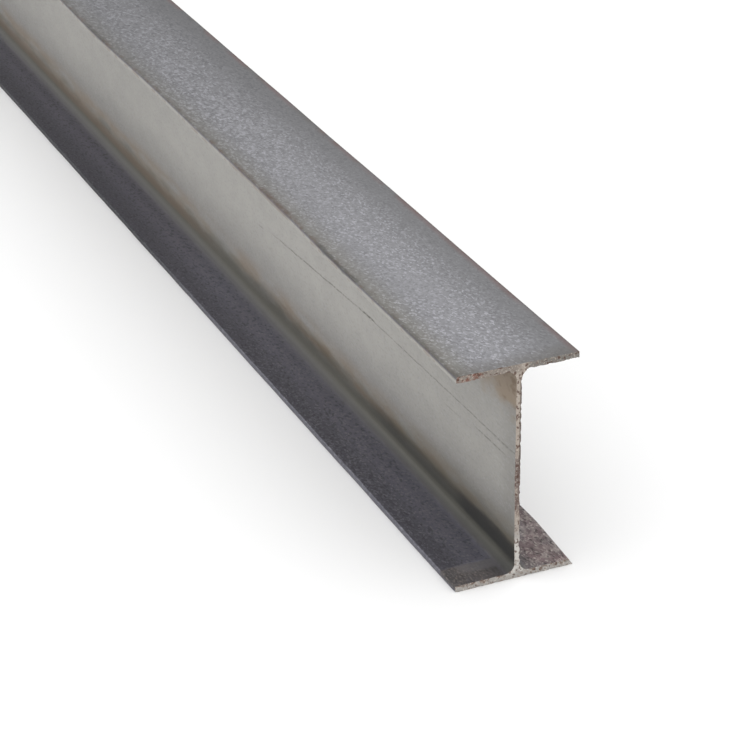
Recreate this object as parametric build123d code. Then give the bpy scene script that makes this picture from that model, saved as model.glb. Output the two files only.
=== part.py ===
from build123d import *
import os

# A hot-rolled steel H-beam: two parallel flanges and the web between them, rolled as one bar
# and sawn square to length. Millimetres. X runs along the beam, Y across its flanges and Z up.
# The origin is under the middle of the beam, on the face that it stands on.

# The rolled section
section_depth = 200.0
flange_width = 110.0
flange_thickness = 5.8
web_thickness = 4.8
root_radius = 8.5
toe_radius = 1.0

# The length that the bar is cut to for sale
stock_length = 6000.0


def rolled_section():
    """The H outline, standing on its lower flange and centred on its web."""
    half_width = flange_width / 2
    half_web = web_thickness / 2
    mid_depth = section_depth / 2
    with BuildSketch() as section:
        with BuildLine():
            # From under the web, round the lower flange's toe and root, to half way up the web
            FilletPolyline(
                (0, 0),
                (half_width, 0),
                (half_width, flange_thickness),
                (half_web, flange_thickness),
                (half_web, mid_depth),
                radius=(toe_radius, toe_radius, root_radius),
            )
            # The upper flange mirrors the lower one, then the far side mirrors the near one
            mirror(about=Plane.ZX.offset(mid_depth))
            mirror(about=Plane.YZ)
        make_face()
    return section.sketch


def h_beam():
    """The section run out to the stock length, half of it each way from the middle."""
    standing_section = Plane.YZ * rolled_section()
    return extrude(standing_section, amount=stock_length / 2, both=True)


os.makedirs("parts", exist_ok=True)
beam = h_beam()
beam.label = "h_beam"
export_step(beam, "parts/h_beam.step")
print(f"section {rolled_section().area:.1f} mm2, beam {beam.volume:.0f} mm3")
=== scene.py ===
# %% [markdown]
# # A hot-rolled steel H-beam
# The real object is one bar. A glowing bloom of steel runs back and forth between shaped rolls until
# two flanges and a web stand out of it. It cools under a skin of grey scale, and a saw cuts it to
# length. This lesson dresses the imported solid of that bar: a denser skin with the small faults of
# rolling, sawn ends with real pits, and a finish of scale, dust, dirt and rust.
#
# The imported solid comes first, because every size of the skin is measured on it.

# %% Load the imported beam
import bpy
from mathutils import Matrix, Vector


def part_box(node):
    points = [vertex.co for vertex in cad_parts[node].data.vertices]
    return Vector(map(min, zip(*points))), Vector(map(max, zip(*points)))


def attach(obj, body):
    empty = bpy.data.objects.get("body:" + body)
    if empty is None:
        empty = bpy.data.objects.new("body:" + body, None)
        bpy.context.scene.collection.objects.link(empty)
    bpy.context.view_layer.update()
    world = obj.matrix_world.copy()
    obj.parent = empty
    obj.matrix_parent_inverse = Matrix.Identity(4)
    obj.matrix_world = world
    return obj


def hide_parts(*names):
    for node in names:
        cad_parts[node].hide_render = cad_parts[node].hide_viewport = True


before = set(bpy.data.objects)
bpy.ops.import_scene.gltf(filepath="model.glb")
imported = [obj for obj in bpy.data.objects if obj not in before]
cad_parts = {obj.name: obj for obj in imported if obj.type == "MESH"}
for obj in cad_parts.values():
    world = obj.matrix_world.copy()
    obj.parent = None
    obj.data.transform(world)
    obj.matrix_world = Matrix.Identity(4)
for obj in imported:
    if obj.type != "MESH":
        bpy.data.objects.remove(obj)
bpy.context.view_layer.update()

# %% [markdown]
# ## Measuring the section
# A rolled section is known by a few sizes: depth, width, two thicknesses, and the radii of its toes
# and roots. They could be typed in again, but then the skin would stop fitting when the solid
# changes. So they are read from the solid's own corners. `side` is a corner's distance from the
# beam's middle plane, and `rise` its distance from the nearer flange's outer face.

# %% Read the section's sizes from the solid
import numpy as np

MM = 0.001
HAIR = 0.05 * MM

corners = np.array([vertex.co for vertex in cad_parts["h_beam"].data.vertices])
box_low, box_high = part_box("h_beam")
length, width, depth = box_high - box_low
half_length, half_width, mid_depth = length / 2, width / 2, depth / 2
side = np.abs(corners[:, 1])
rise = np.minimum(corners[:, 2], depth - corners[:, 2])
flange = rise[side > half_width / 2].max()
web_corners = rise > flange + HAIR
half_web = side[web_corners].min()
root = rise[web_corners & (side < half_web + HAIR)].min() - flange
toe = half_width - side[rise < HAIR].max()
for name, size in {
    "depth": depth, "width": width, "flange": flange, "web": 2 * half_web, "root": root, "toe": toe
}.items():
    print(f"{name} {size / MM:.2f} mm")

# %% [markdown]
# ## The outline of the section
# The H has two planes of symmetry, so a quarter of it is enough: from under the web, round the
# flange's rounded toe, back along the inside of the flange, round the root and half way up the web.
# A complex number is a handy point here, y + z j: a turn is a multiplication, and a mirror is a
# conjugate. Each stretch is a function of the share along it, with a count of mesh cells, so that
# the same outline can be drawn coarse for the long skin and fine for the sawn ends.

# %% Draw the outline
def straight(start, end):
    """A straight stretch from one point to another, as a function of the share along it."""
    return lambda share: start + (end - start) * share


def bend(centre, radius, start, end):
    """A round stretch about a centre, from one angle to another in degrees."""
    return lambda share: centre + radius * np.exp(1j * np.radians(start + (end - start) * share))


toe_side = half_width - toe
root_side = half_web + root
STRETCHES = [
    # path, mesh cells along it
    (straight(0, toe_side), 6),
    (bend(toe_side + toe * 1j, toe, -90, 0), 2),
    (straight(half_width + toe * 1j, half_width + (flange - toe) * 1j), 1),
    (bend(toe_side + (flange - toe) * 1j, toe, 0, 90), 2),
    (straight(toe_side + flange * 1j, root_side + flange * 1j), 5),
    (bend(root_side + (flange + root) * 1j, root, 270, 180), 4),
    (straight(half_web + (flange + root) * 1j, half_web + mid_depth * 1j), 8),
]


def outline(finer):
    """The whole outline, anticlockwise seen from the beam's +X end, from under the web."""
    quarter = [path(np.arange(cells * finer) / (cells * finer)) for path, cells in STRETCHES]
    quarter = np.concatenate(quarter + [[half_web + mid_depth * 1j]])
    right = np.concatenate([quarter, np.conj(quarter[-2::-1]) + depth * 1j])
    return np.concatenate([right, -np.conj(right[-2:0:-1])])


FINER = 4
skin_line, rim_line = outline(1), outline(FINER)
print(len(skin_line), "points round the skin,", len(rim_line), "round a sawn end")

# %% [markdown]
# ## Small faults of rolling
# Nothing squeezes a flange's toe while the rolls spread it, so a rolled toe wanders where a milled
# edge would be straight. On this bar the upper front toe wanders more than a millimetre, and the
# other toes much less. The wander could be drawn by hand as a curve, but a sum of a few sines with
# seeded lengths and starts gives the same aimless line for as long as the bar is, and on every run.
# It fades out towards the web, which the rolls hold. They held it a little off centre here: the web
# stands a millimetre behind the middle, and its foot a bit more. One corner has also been hit: beside
# the +X cut, the lower back toe is beaten in to a wedge.

# %% Bend the toes a little
WAVES, WAVE_SPREAD = 7, (0.6, 2.4)
WANDER_FROM = 0.45
TOE_FAULTS = [
    # side of the beam, upper flange, sideways wander, length of its waves, lift, seed
    (-1, True, 1.50 * MM, 300 * MM, 0.25 * MM, 17725),
    (1, True, 0.25 * MM, 250 * MM, 0.15 * MM, 12),
    (-1, False, 0.20 * MM, 95 * MM, 0.20 * MM, 13),
    (1, False, 0.35 * MM, 95 * MM, 0.20 * MM, 14),
]
LIFT_SPAN, LIFT_SEED = 285 * MM, 100
WEB_OFF, FOOT_OFF, FOOT_BEND = 1.0 * MM, 1.6 * MM, 4
BEATEN_IN, BEATEN_LENGTH, BEATEN_FROM = 4.0 * MM, 68 * MM, 0.75


def wander(along, span, seed):
    """An aimless smooth wave along the beam, about -1 to 1."""
    draw = np.random.default_rng(seed)
    spans = span * draw.uniform(*WAVE_SPREAD, WAVES)
    starts = draw.uniform(0, 2 * np.pi, WAVES)
    return np.sin(2 * np.pi * along[:, None] / spans + starts).sum(1) / np.sqrt(2 * WAVES)


def smooth(value, none, full):
    """0 at none, 1 at full, and an S-curve between them."""
    share = np.clip((value - none) / (full - none), 0, 1)
    return share * share * (3 - 2 * share)


def roll_faults(true_points):
    """Moves points of the true section to where rolling left them. None goes below the floor."""
    x, y, z = true_points.T
    across, up = y.copy(), z.copy()
    loose = smooth(np.abs(y), WANDER_FROM * half_width, half_width)
    for hand, upper, sideways, span, lift, seed in TOE_FAULTS:
        here = loose * (np.sign(y) == hand) * ((z > mid_depth) == upper)
        across += hand * sideways * here * wander(x, span, seed)
        rolling = wander(x, LIFT_SPAN, seed + LIFT_SEED)
        up += lift * here * (rolling if upper else np.abs(rolling))
    held = 1 - smooth(np.abs(y), root_side, WANDER_FROM * half_width)
    across += held * (WEB_OFF + FOOT_OFF * (1 - z / depth) ** FOOT_BEND)
    beaten = np.clip(1 - (half_length - x) / BEATEN_LENGTH, 0, 1)
    beaten *= smooth(y, BEATEN_FROM * half_width, half_width) * (z < mid_depth)
    across -= BEATEN_IN * beaten * z / flange
    return np.stack([x, across, up], 1)


print("toe wander", [f"{fault[2] / MM:.2f} mm" for fault in TOE_FAULTS])

# %% [markdown]
# ## What the saw and the weather did to the ends
# A cold saw leaves shallow ripples, tears small chips out of the edges, and the bare steel then rusts
# into pits. A bump map would shade such pits but leave the outline a ruler line, and the photograph
# shows a ragged edge. So the relief is real: a depth in from the sawn plane for every point of the
# end. It is smooth noise, which the `noise` module gives, cut off so that only its peaks become pits
# and chips. Each kind of relief takes its own slice of that noise, and so does each end.

# %% Describe the relief of a sawn end
from mathutils import Vector, noise

RIPPLE, RIPPLE_PITCH = 0.04 * MM, 2.6 * MM
GRAIN, GRAIN_SIZE, GRAIN_SLICE = 0.12 * MM, 1.3 * MM, 3.5
PIT, PIT_SIZE, PIT_SLICE, PIT_FROM, PIT_FULL = 0.6 * MM, 1.9 * MM, 0.5, 0.20, 0.55
CHIP, CHIP_SIZE, CHIP_SLICE, CHIP_FROM, CHIP_FULL = 0.8 * MM, 2.8 * MM, 7.5, 0.02, 0.5
RAG = 0.55 * MM
SOUND_BELOW, PITTED_ABOVE, SOUNDER_BY = 10 * MM, 50 * MM, 0.12
END_SEED = {1: 1, -1: 2}


def lumps(line, size, layer):
    """Smooth noise over the section, about -1 to 1, with lumps of that size."""
    return np.array([noise.noise(Vector((p.real / size, p.imag / size, layer))) for p in line])


def pits(line, seed):
    """0 on sound metal, up to 1 in the middle of a rust pit. There are fewer low down."""
    fewer = SOUNDER_BY * (1 - smooth(line.imag, SOUND_BELOW, PITTED_ABOVE))
    return smooth(lumps(line, PIT_SIZE, seed + PIT_SLICE), PIT_FROM + fewer, PIT_FULL + fewer)


def saw_relief(line, seed):
    """How far in from the sawn plane each point lies, pits included."""
    ripple = RIPPLE * (1 + np.sin(2 * np.pi * line.imag / RIPPLE_PITCH)) / 2
    grain = GRAIN * (1 + lumps(line, GRAIN_SIZE, seed + GRAIN_SLICE)) / 2
    return ripple + grain + PIT * pits(line, seed)


def edge_chips(line, seed):
    """0 on a clean edge, up to 1 where the saw tore a chip out."""
    return smooth(lumps(line, CHIP_SIZE, seed + CHIP_SLICE), CHIP_FROM, CHIP_FULL)


for hand, seed in END_SEED.items():
    print(f"end {hand:+d}: relief up to {saw_relief(rim_line, seed).max() / MM:.2f} mm")

# %% [markdown]
# ## The skin
# The skin is the outline carried along the beam, ring after ring. An extruded face would do for a
# straight bar, but it has nothing between its ends to bend. Rings 10 mm apart follow the wandering
# toes. Near the saw cuts the rings are finer and closer, so that chips and ragged edges have
# something to move.

# %% Lay the rings along the beam
RIM_ROWS = MM * np.array([0, 0.8, 1.8, 3.2, 5.0, 8.0])
RAG_FADE = 3
RING_GAP = 10 * MM
SKIN_FROM = 14 * MM


def rim_ring(hand, gap):
    """A fine ring at a distance from the sawn end on the +X (hand 1) or -X (hand -1) side."""
    seed = END_SEED[hand]
    fade = 1 - gap / RIM_ROWS[-1]
    tangent = np.roll(rim_line, -1) - np.roll(rim_line, 1)
    inward = 1j * tangent / np.abs(tangent)
    chips = edge_chips(rim_line, seed)
    ragged = rim_line + inward * RAG * chips * fade ** RAG_FADE
    recess = (saw_relief(rim_line, seed) + CHIP * chips) * fade
    return np.stack([hand * (half_length - gap - recess), ragged.real, ragged.imag], 1)


skin_ends = half_length - SKIN_FROM
ring_count = int(round(2 * skin_ends / RING_GAP)) + 1
rings = [rim_ring(1, gap) for gap in RIM_ROWS]
for station in np.linspace(skin_ends, -skin_ends, ring_count):
    rings.append(np.stack([np.full(len(skin_line), station), skin_line.real, skin_line.imag], 1))
rings += [rim_ring(-1, gap) for gap in RIM_ROWS[::-1]]
print(len(rings), "rings")

# %% [markdown]
# ## Stitching the rings
# The bridge tool can join two rings, but a script is sure of the result when it writes the faces
# itself. Each ring is kept as the numbers of its points. Two like rings are joined with quads, and a
# fine ring is joined to a coarse one with a row of fans, one round each point of the coarse ring.

# %% Stitch the rings together
ring_starts = np.concatenate([[0], np.cumsum([len(ring) for ring in rings])])
ring_points = [np.arange(start, end) for start, end in zip(ring_starts[:-1], ring_starts[1:])]


def stitch(here, there):
    """Faces from a ring to the next one towards -X, as quads or as fans where the counts differ."""
    if len(here) == len(there):
        return np.stack([here, there, np.roll(there, -1), np.roll(here, -1)], 1).tolist()
    fine, coarse = (here, there) if len(here) > len(there) else (there, here)
    half_fan = FINER // 2
    fans = []
    for i, hub in enumerate(coarse):
        fan = [fine[(FINER * i + step) % len(fine)] for step in range(-half_fan, half_fan + 1)]
        fans += [[b, a, hub] for a, b in zip(fan[:-1], fan[1:])]
        fans.append([fan[-1], hub, coarse[(i + 1) % len(coarse)]])
    if fine is there:
        fans = [face[::-1] for face in fans]
    return fans


skin_faces = []
for here, there in zip(ring_points[:-1], ring_points[1:]):
    skin_faces += stitch(here, there)
print(len(skin_faces), "skin faces")

# %% [markdown]
# ## The sawn faces
# One polygon could fill the H, but it would shade as one flat sheet and hold no pits. Scattered points
# inside the outline, less than a millimetre apart, and a triangulation held to the outline give an
# even net with no slivers. The points lie on a triangular grid that is shaken a little, with a seed,
# so no rows show.

# %% Fill the two ends with an even net
from mathutils.geometry import delaunay_2d_cdt

NET = 0.75 * MM
NET_SHAKE = 0.25 * NET
NET_EDGE = 0.55 * NET
WELD = HAIR / 100
TRIANGLES_INSIDE = 1


def inside(line, margin):
    """Whether each point lies within the outline, at least margin from it."""
    out = np.abs(line.real)
    height = mid_depth - np.abs(line.imag - mid_depth)
    in_flange = (height > margin) & (height < flange - margin) & (out < half_width - margin)
    in_web = (out < half_web - margin) & (height > margin)
    from_centre = np.abs(out + 1j * height - (root_side + (flange + root) * 1j))
    in_root = (out < root_side) & (height < flange + root) & (from_centre > root + margin)
    return in_flange | in_web | (in_root & (height > margin))


def net_points(seed):
    """Shaken grid points inside the outline."""
    draw = np.random.default_rng(seed)
    rows = np.arange(0, depth, NET * np.sqrt(3) / 2)
    columns = np.arange(-half_width, half_width, NET)
    grid = columns[None, :] + 1j * rows[:, None]
    grid[1::2] += NET / 2
    grid = grid.ravel()
    grid += NET_SHAKE * (draw.uniform(-1, 1, grid.size) + 1j * draw.uniform(-1, 1, grid.size))
    return grid[inside(grid, NET_EDGE)]


def sawn_face(hand, rim, first):
    """The points inside a sawn end, numbered from first, its triangles, and the depth of its pits."""
    seed = END_SEED[hand]
    net = net_points(seed)
    line = np.concatenate([rim_line, net])
    edges = [(i, (i + 1) % len(rim_line)) for i in range(len(rim_line))]
    flat = [Vector((p.real, p.imag)) for p in line]
    _, _, triangles, origins, _, _ = delaunay_2d_cdt(flat, edges, [], TRIANGLES_INSIDE, WELD)
    number = np.concatenate([rim, first + np.arange(len(net))])
    numbered = [[int(number[origins[corner][0]]) for corner in face] for face in triangles]
    if hand < 0:
        numbered = [face[::-1] for face in numbered]
    recess = saw_relief(net, seed)
    net_places = np.stack([hand * (half_length - recess), net.real, net.imag], 1)
    return net_places, numbered, pits(net, seed)


skin_count = ring_starts[-1]
right_points, right_faces, right_pits = sawn_face(1, ring_points[0], skin_count)
left_points, left_faces, left_pits = sawn_face(-1, ring_points[-1], skin_count + len(right_points))
print(len(right_faces), "and", len(left_faces), "triangles in the sawn ends")

# %% [markdown]
# ## One mesh
# The skin and the two sawn faces share their rim points, so the beam is one closed mesh. Shading is
# smooth along the bar and sharp at the saw cuts. A Weighted Normal modifier lets the wide flat faces
# decide the normals, so the narrow cells of the toes and roots don't pull the flats into pillows.
#
# The mesh also remembers two things for the finish: how deep in a rust pit each point lies, and where
# it lies on the true section, in millimetres, before the faults moved it. The finish is painted by
# that place, so a rusty toe stays rusty where it wanders.

# %% Build the beam's mesh
import bpy

true_points = np.concatenate(rings + [right_points, left_points])
points = roll_faults(true_points)
faces = skin_faces + right_faces + left_faces
mesh = bpy.data.meshes.new("h_beam_skin")
mesh.from_pydata(points.tolist(), [], faces)
mesh.update()
sawn_from = len(skin_faces)
face_finish = np.zeros(len(faces), np.int32)
face_finish[sawn_from:] = 1
mesh.polygons.foreach_set("material_index", face_finish)
mesh.polygons.foreach_set("use_smooth", np.ones(len(faces), bool))

right_rim_pits, left_rim_pits = pits(rim_line, END_SEED[1]), pits(rim_line, END_SEED[-1])
no_pits = np.zeros(skin_count - 2 * len(rim_line))
point_pits = np.concatenate([right_rim_pits, no_pits, left_rim_pits, right_pits, left_pits])
pit_depth = mesh.attributes.new("pit", "FLOAT", "POINT")
pit_depth.data.foreach_set("value", point_pits.astype(np.float32))
true_place = mesh.attributes.new("true_place", "FLOAT_VECTOR", "POINT")
true_place.data.foreach_set("vector", (true_points / MM).astype(np.float32).ravel())

rim_numbers = set(ring_points[0].tolist()) | set(ring_points[-1].tolist())
sharp = [rim_numbers.issuperset(edge.vertices) for edge in mesh.edges]
mesh.attributes.new("sharp_edge", "BOOLEAN", "EDGE").data.foreach_set("value", sharp)

beam = bpy.data.objects.new("h_beam_rolled", mesh)
bpy.context.scene.collection.objects.link(beam)
flats = beam.modifiers.new("flats lead the normals", "WEIGHTED_NORMAL")
flats.keep_sharp = True
print(len(points), "points,", sum(len(face) - 2 for face in faces), "triangles")

# %% [markdown]
# ## A folded map for baking
# A bake paints the finish onto a square picture. An unwrapped 6 m beam is a ribbon, and a ribbon laid
# in a square leaves nearly all of it empty. So the skin is cut across into three lengths and laid in
# columns: the +X end, which is looked at most closely, fills half of the square, the rest shares the
# other half at half the scale, and the sawn faces fill the corner left over.

# %% Plan the columns
MAP_EDGE = 0.004
COLUMNS = [
    # left side of the column in the map, its width
    (0.0, 0.5),
    (0.5, 0.25),
    (0.75, 0.25),
]


def around(line):
    """The distance round the outline to each point, and the whole way round."""
    steps = np.abs(np.roll(line, -1) - line)
    return np.concatenate([[0], np.cumsum(steps[:-1])]), steps.sum()


skin_way, skin_round = around(skin_line)
rim_way, rim_round = around(rim_line)
fold = []
column_start = 0
for left, wide in COLUMNS:
    scale = (wide - 2 * MAP_EDGE) / skin_round
    column_end = column_start + (1 - 2 * MAP_EDGE) / scale
    fold.append((left + MAP_EDGE, scale, column_start, column_end))
    column_start = column_end
print("columns end", [f"{column[3]:.2f} m" for column in fold], "from the +X end")

# %% [markdown]
# A face must not lie in two columns, so the skin is cut at rings, at the last one that fits each
# column. One row of faces closes the outline, from its last point to its first. In the map that row
# would run back across the whole column, so its first points are counted on past the whole way round.

# %% Write the map's corners
END_SCALE = 1.6
end_left, map_top = COLUMNS[-1][0] + MAP_EDGE, 1 - MAP_EDGE
way_round = [rim_way * skin_round / rim_round if len(r) == len(rim_line) else skin_way for r in rings]
point_way = np.concatenate(way_round + [np.zeros(len(right_points) + len(left_points))])
point_gap = half_length - points[:, 0]
ring_gap = [half_length - ring[:, 0].mean() for ring in rings]
face_gap = np.array([point_gap[face].mean() for face in faces])
cuts = [max(gap for gap in ring_gap if gap <= column[3]) for column in fold]
map_corners = []
for number, face in enumerate(faces):
    if number >= sawn_from:
        rows_down = 1 if number < sawn_from + len(right_faces) else 2
        end_low = map_top - rows_down * END_SCALE * depth
        across_map = end_left + END_SCALE * (half_width + points[face, 1])
        map_corners += list(zip(across_map, end_low + END_SCALE * points[face, 2]))
        continue
    way = point_way[face]
    if np.ptp(way) > skin_round / 2:
        way = np.where(way < skin_round / 2, way + skin_round, way)
    left, scale, start, _ = fold[int(np.searchsorted(cuts, face_gap[number]))]
    map_corners += list(zip(left + scale * way, MAP_EDGE + scale * (point_gap[face] - start)))
bake_map = mesh.uv_layers.new(name="OFBake")
bake_map.data.foreach_set("uv", np.array(map_corners, np.float32).ravel())
print("map corners from", np.min(map_corners, 0).round(3), "to", np.max(map_corners, 0).round(3))

# %% [markdown]
# ## Tools for the finishes
# A finish on real steel is a stack of thin layers: scale, dust, dirt, rust. Each layer has a colour,
# a metallic and a roughness, and it lies where some places and patterns meet. A place is a soft step
# on a measure, such as the height above the floor, written as (measure, none, full). The nodes could
# be joined by hand in the shader editor, but a stack this tall is easier to read as a table. So a few
# small functions are enough: one turns a hex colour into the linear colour that shaders use, one adds
# a node with its settings and links, and two lay layers over what is already there.

# %% Colour, node and layer helpers
def linear(code):
    """An sRGB hex colour as a linear colour."""
    channels = [int(code[i:i + 2], 16) / 255 for i in (1, 3, 5)]
    return (*[c / 12.92 if c <= 0.04045 else ((c + 0.055) / 1.055) ** 2.4 for c in channels], 1)


def add(tree, kind, links, **settings):
    """A new node. links gives each input, by name or number, a value, a socket, or a node's output."""
    node = tree.nodes.new(kind)
    for name, value in settings.items():
        setattr(node, name, value)
    inputs = [socket for socket in node.inputs if socket.enabled]
    names = [socket.name for socket in inputs]
    for place, value in links.items():
        socket = inputs[place if isinstance(place, int) else names.index(place)]
        if isinstance(value, bpy.types.Node):
            value = next(output for output in value.outputs if output.enabled)
        if isinstance(value, bpy.types.NodeSocket):
            tree.links.new(value, socket)
        else:
            socket.default_value = value
    return node


def lay(tree, coat, colour, metallic, roughness, strength, *places):
    """A coat with one more layer on it, as strong as it says where all the places meet."""
    mask = strength
    for measure, none, full in places:
        step = add(
            tree, "ShaderNodeMapRange", {"Value": measure, "From Min": none, "From Max": full},
            interpolation_type="SMOOTHSTEP",
        )
        mask = add(tree, "ShaderNodeMath", {0: mask, 1: step}, operation="MULTIPLY")
    layer = (linear(colour), metallic, roughness)
    kinds = ("RGBA", "FLOAT", "FLOAT")
    return [
        add(tree, "ShaderNodeMix", {"Factor": mask, "A": under, "B": over}, data_type=kind)
        for kind, under, over in zip(kinds, coat, layer)
    ]


def lay_all(tree, coat, layers):
    """A coat with a table of layers on it, the first row lowest."""
    for layer in layers:
        coat = lay(tree, coat, *layer)
    return coat


print("mid grey is", round(linear("#808080")[0], 3), "in linear light")

# %% [markdown]
# ## As-rolled steel: where things are on the section
# The skin is hot-rolled steel under mill scale, a thin grey oxide that grows while the bar cools. It
# gives the eye a dull metal sheen, bluish where it is whole and lighter where it is dusty or rubbed.
# What lies where depends on the place on the section, so the finish starts by measuring it: distance
# from the middle plane, from a flange's outer face, from a toe, from a toe's outer corner and from
# the cut ends. A painted picture could say the same, but it would stretch with the bar and blur up
# close. All measures are in millimetres, so the tables below read like a ruler.

# %% Measure places on the skin
half_length_mm, half_width_mm, depth_mm = half_length / MM, half_width / MM, depth / MM
flange_mm, half_web_mm, root_mm = flange / MM, half_web / MM, root / MM
root_side_mm = half_web_mm + root_mm

rolled = bpy.data.materials.new("hot_rolled_steel_mill_scale")
rolled.use_nodes = True
tree = rolled.node_tree
spot = add(tree, "ShaderNodeAttribute", {}, attribute_name="true_place").outputs["Vector"]
along, across, up = add(tree, "ShaderNodeSeparateXYZ", {"Vector": spot}).outputs
aside = add(tree, "ShaderNodeMath", {0: across}, operation="ABSOLUTE")
inward = add(tree, "ShaderNodeMath", {0: up, 1: depth_mm / 2}, operation="PINGPONG")
toe_gap = add(tree, "ShaderNodeMath", {0: half_width_mm, 1: aside}, operation="SUBTRACT")
corner_gap = add(tree, "ShaderNodeMath", {0: toe_gap, 1: inward}, operation="MAXIMUM")
# seen_gap is counted from the +X cut, and end_gap from the nearer cut
seen_gap = add(tree, "ShaderNodeMath", {0: half_length_mm, 1: along}, operation="SUBTRACT")
off_middle = add(tree, "ShaderNodeMath", {0: along}, operation="ABSOLUTE")
end_gap = add(tree, "ShaderNodeMath", {0: half_length_mm, 1: off_middle}, operation="SUBTRACT")

on_web = (aside, root_side_mm, half_web_mm + 0.25 * root_mm)
off_web = (aside, half_web_mm + 0.5 * root_mm, root_side_mm + 3)
in_root = (aside, root_side_mm + 4, half_web_mm + 0.4 * root_mm)
on_outer = (inward, 1.0, 0.2)
on_top = (up, depth_mm - 1.0, depth_mm - 0.2)
on_toe = (toe_gap, 1.3, 0.3)
in_front = (across, 1, -1)
behind = (across, -1, 1)
low_half = (up, 0.55 * depth_mm, 0.45 * depth_mm)
high_half = (up, 0.45 * depth_mm, 0.55 * depth_mm)
between_flanges = (inward, 0.3, 0.7 * flange_mm)
web_face = (on_web, between_flanges)
flange_insides = (off_web, between_flanges)
print("places are soft steps, such as the web", [round(edge, 1) for edge in on_web[1:]], "mm aside")

# %% [markdown]
# ## As-rolled steel: patterns
# Every pattern has a real size. Grains of scale are about 0.1 mm, far too fine for this view, so they
# are drawn at 1.5 to 2.5 mm, as coarse as they need to be to show. Rust starts in spots of a few
# millimetres, and dust and handling leave clouds from a thumb's to a hand's width. All are longer along
# the bar, as rolling leaves them, and most of all at the foot of the web, where wet dirt dries in runs.
#
# Smooth noise suits dirt, dust and rust, which fade into each other. A grain doesn't fade: it catches
# the light or it doesn't. So the sparkle is a cell pattern, in which each cell has one tone.

# %% Make the patterns
PATTERNS = {
    # size in mm, stretch along the beam, detail
    "grit": (1.9, 1.8, 1.5),
    "speck": (2.5, 2.0, 1.5),
    "rust spots": (8, 1.5, 5),
    "mottle": (14, 1.8, 4),
    "wash": (13, 4, 3),
    "rust runs": (16, 4, 4),
    "rust patches": (38, 1.6, 4),
    "drift": (60, 1.5, 3),
    "cloud": (190, 2.5, 3),
}
GRAINS = {
    # size in mm, stretch along the beam
    "sparkle": (1.5, 1.6),
    "glint": (2.1, 2.0),
}
drawn = {}
for name, (size, stretch, detail) in PATTERNS.items():
    laid = add(tree, "ShaderNodeMapping", {"Vector": spot, "Scale": (1 / stretch, 1, 1)})
    drawn[name] = add(tree, "ShaderNodeTexNoise", {"Vector": laid, "Scale": 1 / size, "Detail": detail})
for name, (size, stretch) in GRAINS.items():
    laid = add(tree, "ShaderNodeMapping", {"Vector": spot, "Scale": (1 / stretch, 1, 1)})
    cells = add(tree, "ShaderNodeTexVoronoi", {"Vector": laid, "Scale": 1 / size})
    drawn[name] = cells.outputs["Color"]

bright_grit = (drawn["grit"], 0.50, 0.72)
dark_grit = (drawn["grit"], 0.50, 0.28)
dark_specks = (drawn["speck"], 0.50, 0.30)
bright_sparkle = (drawn["sparkle"], 0.55, 0.95)
dark_sparkle = (drawn["sparkle"], 0.45, 0.05)
bright_glints = (drawn["glint"], 0.55, 0.95)
dark_glints = (drawn["glint"], 0.45, 0.05)
rust_spots = (drawn["rust spots"], 0.47, 0.66)
mottles = (drawn["mottle"], 0.35, 0.68)
washes = (drawn["wash"], 0.40, 0.62)
rust_runs = (drawn["rust runs"], 0.30, 0.62)
rust_hearts = (drawn["rust runs"], 0.50, 0.66)
rust_patches = (drawn["rust patches"], 0.40, 0.60)
drifts = (drawn["drift"], 0.05, 0.52)
clouds = (drawn["cloud"], 0.32, 0.68)
print("patterns in mm", {name: row[0] for name, row in {**PATTERNS, **GRAINS}.items()})
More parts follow.
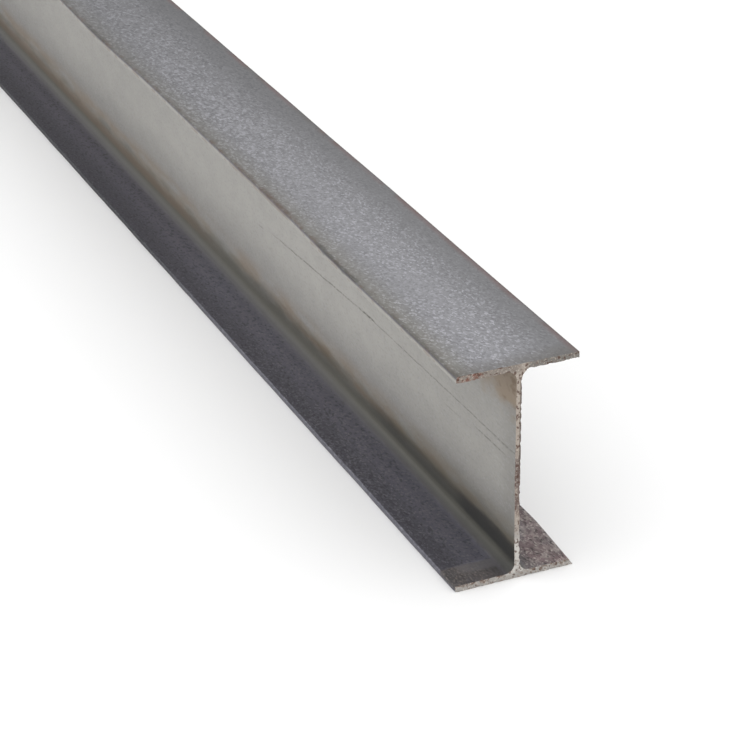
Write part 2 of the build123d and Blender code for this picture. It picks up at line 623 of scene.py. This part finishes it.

# %% [markdown]
# ## As-rolled steel: scale and dust
# Whole scale is a dark metal: the inner sides of the flanges mirror the web in it and look almost
# black. The web carries a film of pale dust, which is matt and not metal, so it stays light from every
# side. It thins out towards the foot of the web, and the web is darker towards the cut end. Water has
# washed its lower edge ragged, so that edge is drawn on a height with some noise added, not on a level
# line.

# %% Lay scale and dust
RAGGED = 17
unevenness = add(
    tree, "ShaderNodeMath", {0: drawn["wash"], 1: RAGGED, 2: -RAGGED / 2}, operation="MULTIPLY_ADD"
)
washed = add(tree, "ShaderNodeMath", {0: up, 1: unevenness}, operation="ADD")
under_flange = (up, depth_mm - 8, depth_mm - 24)
SCALE = (linear("#66656f"), 0.9, 0.42)
SCALE_LAYERS = [
    # colour, metallic, roughness, strength, places
    # scale, lighter towards the web
    ("#9392a0", 0.90, 0.42, 1.00, (aside, 48, 12)),
    ("#7f7d7b", 0.85, 0.42, 1.00, on_web),
    ("#717173", 0.85, 0.45, 1.00, on_outer),
    # dust on the web, thinner at its foot, and the web darker towards the ends and the middle
    ("#95938f", 0.20, 0.65, 0.75, *web_face, (washed, 18, 41), under_flange),
    ("#a09e99", 0.15, 0.65, 0.90, *web_face, (up, 36, 100), under_flange),
    ("#6f6d68", 0.30, 0.60, 0.30, *web_face, (end_gap, 330, 10)),
    ("#6a6864", 0.30, 0.60, 0.36, *web_face, (end_gap, 34, 4)),
    ("#6f6d69", 0.30, 0.60, 0.14, *web_face, (end_gap, 450, 1000)),
    # darker scale further in, beside the lower root, and on the lower toes
    ("#3a3a40", 0.80, 0.50, 0.22, *flange_insides, (end_gap, 600, 950)),
    ("#33333a", 0.80, 0.50, 0.19, low_half, between_flanges, (aside, 25, 16), (aside, 9, 16)),
    ("#26262b", 0.80, 0.50, 0.90, on_toe, low_half, (end_gap, 450, 800)),
    # clouds, mottles and grain
    ("#56565a", 0.80, 0.50, 0.10, clouds),
    ("#5c5c60", 0.80, 0.50, 0.08, mottles),
    ("#a4a4a8", 0.90, 0.40, 0.20, bright_grit),
    ("#48484c", 0.70, 0.50, 0.11, dark_specks),
    ("#414146", 0.80, 0.50, 0.40, *flange_insides, dark_specks),
    ("#b5b5bc", 0.90, 0.40, 0.34, *flange_insides, bright_sparkle, drifts, (end_gap, 1000, 300)),
]
coat = lay_all(tree, SCALE, SCALE_LAYERS)
print(len(SCALE_LAYERS), "layers of scale and dust")

# %% [markdown]
# ## As-rolled steel: the top face
# The top face is painted lighter along its middle, a painted sheen, and its grains sparkle there. The
# outer faces are painted darker with the distance from the cut end, a painted shade where that sheen
# falls off. The top goes browner over the last centimetres beside the cut, and takes an olive tinge
# along the front toe. A lamp alone could light the middle more, but then the gloss would slide along
# the bar with every new view.

# %% Paint sheen and shade on the top face
sheen_behind = (across, half_width_mm - 6, -12)
sheen_before = (across, -half_width_mm - 15, -12)
further_in = (end_gap, 150, 750)
TOP_LAYERS = [
    # colour, metallic, roughness, strength, places
    # a painted sheen along the middle, and its sparkle
    ("#9a9a9f", 0.90, 0.38, 0.48, on_top, sheen_behind, sheen_before),
    ("#bebec6", 0.95, 0.32, 0.50, on_top, (across, 48, 12), bright_sparkle, drifts),
    ("#434346", 0.80, 0.50, 0.32, on_top, dark_sparkle),
    # larger grains further in, where the finer ones would melt into grey
    ("#c4c4cc", 0.95, 0.34, 0.50, on_top, further_in, sheen_behind, bright_glints),
    ("#3c3c40", 0.80, 0.50, 0.44, on_top, further_in, dark_glints),
    # the olive tinge of the front toe, painted shade on the far part of the outer faces, and the brown edge
    # of the cut
    ("#7d7863", 0.50, 0.55, 0.32, on_top, in_front, (toe_gap, 28, 2)),
    ("#5d5348", 0.10, 0.75, 0.26, on_top, in_front, (toe_gap, 13, 3), rust_spots),
    ("#424245", 0.80, 0.50, 0.66, on_outer, (end_gap, -200, 1260)),
    ("#5c5852", 0.30, 0.70, 0.50, on_top, (end_gap, 24, 2)),
]
coat = lay_all(tree, coat, TOP_LAYERS)
print(len(TOP_LAYERS), "layers on the top face")

# %% [markdown]
# ## As-rolled steel: dirt at the foot of the web
# Dirt has washed down the web and lies along the lower root: brown further in, with a tan fringe
# where it thins out, and black over the last hand's width before the cut. Dirt isn't a metal, so it
# takes the metallic down as it covers the scale, and the sheen goes with it. One gradient up the web
# could stand for all of it, but a band of dirt has two soft edges. So most of these layers have two
# steps on the height, one for each edge.

# %% Lay the dirt
lower_root = (in_root, between_flanges, (up, flange_mm + 22, flange_mm + 8))
crest_highlight = (low_half, (aside, 6, 4.5), (up, 8.2, 9.8), (up, 12.2, 10.6))
root_foot_highlight = (low_half, between_flanges, (aside, 15, 11.5), (aside, 6.5, 9))
in_dirt = (*web_face, (washed, 34, 26), (up, 13, 18))
FOOT_LAYERS = [
    # colour, metallic, roughness, strength, places
    # the grey root, with a painted highlight along its crest near the cut and a fainter one lower on it
    # further in
    ("#4c4b48", 0.30, 0.60, 0.54, *lower_root),
    ("#4c4b48", 0.30, 0.60, 0.58, in_root, between_flanges, (up, 14, 9)),
    ("#525040", 0.10, 0.70, 0.50, *web_face, (up, 41, 21), (up, 7, 13)),
    ("#b0aea4", 0.10, 0.65, 0.10, *crest_highlight, (end_gap, 420, 160)),
    ("#8a8884", 0.20, 0.65, 0.12, *root_foot_highlight, (end_gap, 120, 330)),
    # runs of rust in the fringe, and the damp band under it
    ("#7a6548", 0.00, 0.80, 0.43, *web_face, (up, 56, 36), (up, 20, 31), rust_runs),
    ("#6a5445", 0.00, 0.80, 0.32, *web_face, (up, 46, 33), (up, 20, 29), rust_hearts),
    ("#2f2e1f", 0.00, 0.80, 0.42, *web_face, (up, 40, 28), (up, 14, 25), washes),
    # further in, the dirt thins out and its lower edge turns tan
    ("#a9a7a2", 0.10, 0.65, 0.15, *web_face, (up, 18, 29), (up, 44, 33), (end_gap, 460, 660)),
    ("#8c6d52", 0.10, 0.70, 0.22, *web_face, (up, 30, 22), (up, 12, 16), (end_gap, 640, 820)),
    # towards the +X cut, it darkens to black
    ("#3f3e36", 0.00, 0.70, 0.58, *web_face, (washed, 66, 33), (seen_gap, 420, 20)),
    ("#2c2b26", 0.00, 0.70, 0.18, *web_face, (washed, 47, 36), (seen_gap, 114, 84)),
    ("#241f1b", 0.00, 0.70, 0.18, *in_dirt, (seen_gap, 640, 540)),
    ("#141312", 0.00, 0.70, 0.46, *in_dirt, (seen_gap, 310, 245)),
    ("#0e0e0d", 0.00, 0.70, 0.72, *in_dirt, (seen_gap, 122, 88)),
    ("#2a2a2c", 0.20, 0.60, 0.14, *lower_root, in_front, (seen_gap, 420, 140)),
    ("#2a2a2a", 0.10, 0.60, 0.40, *lower_root, in_front, (seen_gap, 36, 8)),
]
coat = lay_all(tree, coat, FOOT_LAYERS)
print(len(FOOT_LAYERS), "layers of dirt at the foot of the web")

# %% [markdown]
# ## As-rolled steel: rust
# Rust starts where the scale is thin or broken: at the toes, beside the saw cuts, and on the back of
# the lower flange. One noise over the whole bar would rust it evenly, so each layer has a place of its
# own. The front upper toe is dusty below its corner, so only the corner shows as a dark line. Some
# rust hangs down the web from the upper flange beside the cuts. Its lower edge is ragged like that of
# the dust, so it is drawn on a distance with some noise added too.

# %% Lay the rust
HANGING = 46
hanging = add(
    tree, "ShaderNodeMath", {0: drawn["mottle"], 1: HANGING, 2: inward}, operation="MULTIPLY_ADD"
)
high_web = (*web_face, high_half)
low_inside = (low_half, *flange_insides)
low_back = (*low_inside, behind)
end_patch = (*low_inside, (end_gap, 31, 26))
patch_toe = (aside, 12, 30)
RUST_LAYERS = [
    # colour, metallic, roughness, strength, places
    # the upper toes
    ("#5a5550", 0.30, 0.70, 0.42, on_top, (toe_gap, 8, 2), mottles),
    ("#6f4f4e", 0.20, 0.70, 0.50, on_top, behind, (toe_gap, 8, 1), rust_patches),
    ("#3f3b38", 0.20, 0.70, 0.60, on_top, behind, (toe_gap, 2.5, 0.5)),
    ("#9a9892", 0.20, 0.65, 0.90, on_toe, in_front, high_half, (inward, 1.2, 3.0)),
    ("#3f3a35", 0.20, 0.70, 0.20, in_front, high_half, (corner_gap, 3.5, 1.2)),
    ("#5f4032", 0.00, 0.85, 0.28, high_half, (toe_gap, 5, 0.5), rust_spots),
    # rust that hangs down the web
    ("#7f6f5c", 0.00, 0.85, 0.80, *high_web, (hanging, flange_mm + 72, flange_mm + 47), (end_gap, 125, 30)),
    (
        "#56412f", 0.00, 0.85, 0.55, *high_web, (hanging, flange_mm + 67, flange_mm + 43),
        (end_gap, 80, 20), rust_spots,
    ),
    # a patch on the lower flange beside the cuts
    ("#3f3a36", 0.00, 0.85, 0.78, *end_patch),
    ("#2c2926", 0.00, 0.85, 0.50, *end_patch, (aside, 40, 15)),
    ("#6c6057", 0.00, 0.85, 0.26, *end_patch, patch_toe, mottles),
    ("#857b71", 0.00, 0.85, 0.42, *end_patch, patch_toe, bright_grit),
    ("#2e2926", 0.00, 0.85, 0.60, *end_patch, dark_grit),
    ("#6b696c", 0.20, 0.75, 0.50, *end_patch, (end_gap, 12, 20), (aside, 48, 34)),
    # the back of the lower flange
    ("#6a6364", 0.10, 0.75, 0.85, *low_back),
    ("#8a7071", 0.00, 0.80, 0.60, *low_back, rust_patches),
    ("#352e30", 0.00, 0.80, 0.50, *low_back, mottles),
    ("#b4aca6", 0.10, 0.80, 0.40, *low_back, rust_spots),
    ("#c0b8b2", 0.10, 0.80, 0.50, *low_back, bright_sparkle),
    ("#2b2526", 0.10, 0.80, 0.65, *low_back, dark_specks),
]
coat = lay_all(tree, coat, RUST_LAYERS)
print(len(RUST_LAYERS), "layers of rust")

# %% [markdown]
# ## As-rolled steel: marks along a toe
# Other bars have rubbed the upper front toe and left dark marks along it. Noise would scatter such
# marks anywhere, and the real ones are few and long, so a table says where each one starts and ends.
# Noise only frays their edges.

# %% Mark the front upper toe
TOE_MARKS = [
    # from the +X end, to, reach round the corner, all in mm, colour, strength
    (-20, 122, 4.0, "#36322e", 0.30),
    (196, 284, 4.0, "#1f1c1a", 0.46),
    (350, 424, 6.5, "#4b352b", 0.40),
    (434, 484, 5.5, "#4e3b31", 0.28),
    (852, 916, 4.5, "#2f2b29", 0.30),
]
MARK_FADE, MARK_HEART, FRAY = 8, 0.4, 9
MARK_METALLIC, MARK_ROUGHNESS = 0.0, 0.8
frayed_gap = add(
    tree, "ShaderNodeMath", {0: drawn["rust spots"], 1: FRAY, 2: corner_gap}, operation="MULTIPLY_ADD"
)
for first, last, reach, colour, strength in TOE_MARKS:
    coat = lay(
        tree, coat, colour, MARK_METALLIC, MARK_ROUGHNESS, strength, in_front, high_half,
        (frayed_gap, reach + FRAY / 2, MARK_HEART * reach + FRAY / 2),
        (seen_gap, first - MARK_FADE, first + MARK_FADE),
        (seen_gap, last + MARK_FADE, last - MARK_FADE),
    )
print(len(TOE_MARKS), "marks along the front upper toe")

# %% [markdown]
# ## As-rolled steel: scratches
# A chain or a fork dragged along the web has left a few long scratches. They are lines, not noise:
# each runs from one place to another, so it is a band about a sloping line, faded out at both ends.
# A dragged edge skips and swerves, so the line wobbles by a millimetre and breaks up in places.

# %% Draw the scratches
SCRATCHES = [
    # from the +X end, height there, to, height there, half width, all in mm, and depth of tone
    (-60, 119, 330, 112.4, 0.6, 0.55),
    (276, 113.8, 316, 112.8, 0.9, 0.80),
    (300, 113.2, 535, 100.6, 0.75, 0.60),
    (14, 108.6, 76, 107.4, 0.7, 0.60),
    (4, 116.9, 44, 116.2, 0.7, 0.35),
    (100, 102.4, 134, 101.6, 0.6, 0.28),
    (548, 97.2, 562, 96.6, 0.9, 0.35),
]
WOBBLE = 2.4
EDGE_NONE, EDGE_FULL = 1.6, 0.4
FADE_BEFORE, FADE_AFTER = 1 / 16, 1 / 4
SCRATCHED = ("#4e4b46", 0.5, 0.5)
wobbly_up = add(
    tree, "ShaderNodeMath", {0: drawn["rust spots"], 1: WOBBLE, 2: up}, operation="MULTIPLY_ADD"
)
broken = (drawn["speck"], 0.34, 0.54)
for first, first_up, last, last_up, half, tone in SCRATCHES:
    line = add(tree, "ShaderNodeMapRange", {
        "Value": seen_gap, "From Min": first, "From Max": last,
        "To Min": first_up + WOBBLE / 2, "To Max": last_up + WOBBLE / 2,
    }, clamp=False)
    off_line = add(tree, "ShaderNodeMath", {0: wobbly_up, 1: line}, operation="SUBTRACT")
    off_line = add(tree, "ShaderNodeMath", {0: off_line}, operation="ABSOLUTE")
    run = last - first
    coat = lay(
        tree, coat, *SCRATCHED, tone, on_web, in_front, broken,
        (off_line, EDGE_NONE * half, EDGE_FULL * half),
        (seen_gap, first - FADE_BEFORE * run, first + FADE_AFTER * run),
        (seen_gap, last + FADE_BEFORE * run, last - FADE_AFTER * run),
    )
print(len(SCRATCHES), "scratches")

# %% [markdown]
# ## As-rolled steel: the shader
# The finished coat goes into one Principled shader. A little bump from the same grain breaks up the
# reflections, so the sparkle is in the light as well as in the colour. The grain is far too low to be
# worth real geometry.

# %% Connect the skin's shader
def connect(tree, coat, relief):
    """Feeds a finished coat and its relief to the tree's shader."""
    shader = tree.nodes["Principled BSDF"]
    for place, node in zip(("Base Color", "Metallic", "Roughness", "Normal"), (*coat, relief)):
        tree.links.new(next(output for output in node.outputs if output.enabled), shader.inputs[place])


GRAIN_BUMP, GRAIN_HEIGHT = 0.35, 0.25 * MM
grain_bump = add(
    tree, "ShaderNodeBump", {"Strength": GRAIN_BUMP, "Distance": GRAIN_HEIGHT, "Height": drawn["grit"]}
)
connect(tree, coat, grain_bump)
mesh.materials.append(rolled)
print(len(tree.nodes), "nodes in", rolled.name)

# %% [markdown]
# ## Sawn steel, rusting
# The cut is bare steel that a cold saw left rough, so it scatters light where the scale mirrors it.
# Low down, where the saw finished, it is still light grey and a little bright. Higher up a tan bloom
# of rust covers it, with dark red-brown in the pits and a purple-brown stretch half way up the web. A
# dark band along the web's back edge is painted shade. A noise of its own could darken the pits, but
# it would miss the holes in the mesh. So they are painted by the depth that the mesh remembers. The
# torn grain of a saw cut is a few tenths of a millimetre, too fine to show, so it is drawn at 1.6 mm.

# %% Measure places on the cut
sawn = bpy.data.materials.new("sawn_steel_rusting")
sawn.use_nodes = True
cut_tree = sawn.node_tree
cut_spot = add(cut_tree, "ShaderNodeAttribute", {}, attribute_name="true_place").outputs["Vector"]
_, cut_across, cut_up = add(cut_tree, "ShaderNodeSeparateXYZ", {"Vector": cut_spot}).outputs
cut_aside = add(cut_tree, "ShaderNodeMath", {0: cut_across}, operation="ABSOLUTE")
pit = add(cut_tree, "ShaderNodeAttribute", {}, attribute_name="pit").outputs["Fac"]
CUT_PATTERNS = {
    # size in mm, detail
    "fine": (1.6, 3),
    "blot": (3.2, 2),
    "coarse": (9, 4),
}
fine, blot, coarse = [
    add(cut_tree, "ShaderNodeTexNoise", {"Vector": cut_spot, "Scale": 1 / size, "Detail": detail})
    for size, detail in CUT_PATTERNS.values()
]
on_upper = (cut_up, depth_mm - flange_mm - 3, depth_mm - flange_mm)
on_lower = ((cut_up, flange_mm + 1, flange_mm - 1), (cut_aside, 9, 16))
lower_edge = ((cut_up, flange_mm - 3.4, flange_mm - 1.6), (cut_up, flange_mm + 2, flange_mm))
back_edge_shade = (cut_across, half_web_mm - 1.9, half_web_mm - 0.9)
print("patterns on the cut in mm", {name: row[0] for name, row in CUT_PATTERNS.items()})

# %% [markdown]
# The layers go from the bare steel up to the rust, the pits last, because rust in a pit hides all
# that is under it.

# %% Finish the sawn ends
BARE = (linear("#9d9389"), 0.1, 0.75)
SAWN_LAYERS = [
    # colour, metallic, roughness, strength, places
    # brighter steel low down
    ("#9d9a96", 0.40, 0.50, 0.90, (cut_up, 58, 34)),
    ("#bfbcb7", 0.40, 0.50, 0.90, (cut_up, 41, 33), (cut_up, 3, 7), (cut_aside, 16, 9)),
    # the upper flange, front and back, and the stretch half way up the web
    ("#716962", 0.00, 0.75, 0.78, on_upper, (cut_across, 6, -4)),
    ("#64625e", 0.10, 0.75, 0.85, on_upper, (cut_across, 4, 12)),
    ("#5c4e4a", 0.00, 0.80, 0.92, (cut_up, 56, 72), (cut_up, 124, 108), (coarse, 0.33, 0.50)),
    # blots of rust, and bright grain between them
    ("#5e483e", 0.00, 0.85, 0.52, (blot, 0.54, 0.66)),
    ("#66392b", 0.00, 0.85, 0.75, on_upper, (cut_across, -26, -34), (blot, 0.47, 0.57)),
    ("#5f4a3d", 0.00, 0.85, 0.80, *lower_edge, (cut_aside, 9, 14), (blot, 0.44, 0.54)),
    ("#6a5648", 0.00, 0.85, 0.45, *on_lower, (blot, 0.52, 0.62)),
    ("#c2b8ad", 0.30, 0.60, 0.50, (fine, 0.50, 0.68)),
    ("#d2ccc4", 0.30, 0.60, 0.45, *on_lower, (fine, 0.54, 0.66)),
    # painted shade along the web's back edge, and the pits
    ("#3d312b", 0.00, 0.85, 0.80, back_edge_shade, (cut_up, 96, 112), (cut_up, 191, 180)),
    ("#523a30", 0.00, 0.90, 0.80, (pit, 0.05, 0.55)),
]
cut_coat = lay_all(cut_tree, BARE, SAWN_LAYERS)
CUT_BUMP, CUT_HEIGHT = 0.5, 0.3 * MM
cut_bump = add(
    cut_tree, "ShaderNodeBump", {"Strength": CUT_BUMP, "Distance": CUT_HEIGHT, "Height": fine}
)
connect(cut_tree, cut_coat, cut_bump)
mesh.materials.append(sawn)
print(len(cut_tree.nodes), "nodes in", sawn.name)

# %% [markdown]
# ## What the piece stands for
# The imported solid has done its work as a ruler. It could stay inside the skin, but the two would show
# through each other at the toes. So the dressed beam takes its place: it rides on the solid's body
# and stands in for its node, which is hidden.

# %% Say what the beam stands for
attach(beam, "root")
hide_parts("h_beam")
print(beam.name, "stands for h_beam")

# %% [markdown]
# ## The stage
# The beam stands on plain white paper, as in a catalogue picture. Matt paper has no gloss, so it gives
# the eye a soft shadow and no mirror image. A sheet a little larger than the beam would do for one
# view, but this one reaches so far that no edge of it shows in any.

# %% Lay the floor
FLOOR_REACH = 80
PAPER_ROUGHNESS = 0.9
floor_mesh = bpy.data.meshes.new("floor")
floor_mesh.from_pydata(
    [(x * FLOOR_REACH, y * FLOOR_REACH, 0) for x, y in ((-1, -1), (1, -1), (1, 1), (-1, 1))],
    [],
    [(0, 1, 2, 3)],
)
floor = bpy.data.objects.new("floor", floor_mesh)
bpy.context.scene.collection.objects.link(floor)
paper = bpy.data.materials.new("white_paper_matt")
paper.use_nodes = True
paper_shader = paper.node_tree.nodes["Principled BSDF"]
paper_shader.inputs["Base Color"].default_value = linear("#f6f6f6")
paper_shader.inputs["Roughness"].default_value = PAPER_ROUGHNESS
paper_shader.inputs["Specular IOR Level"].default_value = 0
floor_mesh.materials.append(paper)
print("floor", 2 * FLOOR_REACH, "m wide")

# %% [markdown]
# ## The light
# Lamps alone would do for a matt thing, but a metal shows what is round it. So the light is mostly the
# surroundings: an even white world, bright enough to take the paper to plain white, fills every
# shadow. One wide soft box in front lifts the web. The plain view transform keeps the greys as they
# were mixed.

# %% Light it
WORLD_STRENGTH = 1.25
BOX_PLACE, BOX_AIM = Vector((-0.5, -3.2, 1.0)), Vector((-0.6, 0, 0))
BOX_WIDTH, BOX_HEIGHT, BOX_POWER = 3.0, 1.6, 15

world = bpy.data.worlds.new("soft studio")
world.use_nodes = True
world.node_tree.nodes["Background"].inputs["Color"].default_value = linear("#ffffff")
world.node_tree.nodes["Background"].inputs["Strength"].default_value = WORLD_STRENGTH
bpy.context.scene.world = world
bpy.context.scene.view_settings.view_transform = "Standard"

light = bpy.data.lights.new("front box", "AREA")
light.shape = "RECTANGLE"
light.size, light.size_y, light.energy = BOX_WIDTH, BOX_HEIGHT, BOX_POWER
lamp = bpy.data.objects.new("front box", light)
near_end = Vector((half_length, 0, mid_depth))
lamp.location = near_end + BOX_PLACE
lamp.rotation_euler = (BOX_AIM - BOX_PLACE).to_track_quat("-Z", "Y").to_euler()
lamp.visible_camera = False
bpy.context.scene.collection.objects.link(lamp)
print("soft box at", [round(v, 2) for v in lamp.location])

# %% [markdown]
# ## The camera
# A camera can be placed by eye, but then a wrong view and a wrong shape look alike. So this view is
# worked out from the photograph: the edges of the beam, drawn out to their vanishing points, give the
# lens and the angle. The camera looks down on the cut end with a long lens.

# %% Place the camera
from math import cos, radians, sin
from mathutils import Quaternion

AIM_IN, AIM_ACROSS, CAMERA_DISTANCE = 410 * MM, 46 * MM, 2.514
AZIMUTH, ELEVATION, ROLL = radians(66.30), radians(26.99), radians(-0.56)
LENS = 128.1
back = Vector((sin(AZIMUTH) * cos(ELEVATION), -cos(AZIMUTH) * cos(ELEVATION), sin(ELEVATION)))
camera = bpy.data.objects.new("camera", bpy.data.cameras.new("camera"))
camera.data.lens = LENS
camera.location = Vector((half_length - AIM_IN, AIM_ACROSS, 0)) + back * CAMERA_DISTANCE
camera.rotation_mode = "QUATERNION"
camera.rotation_quaternion = (-back).to_track_quat("-Z", "Y") @ Quaternion((0, 0, 1), ROLL)
bpy.context.scene.collection.objects.link(camera)
bpy.context.scene.camera = camera
print("camera at", [round(v, 3) for v in camera.location])
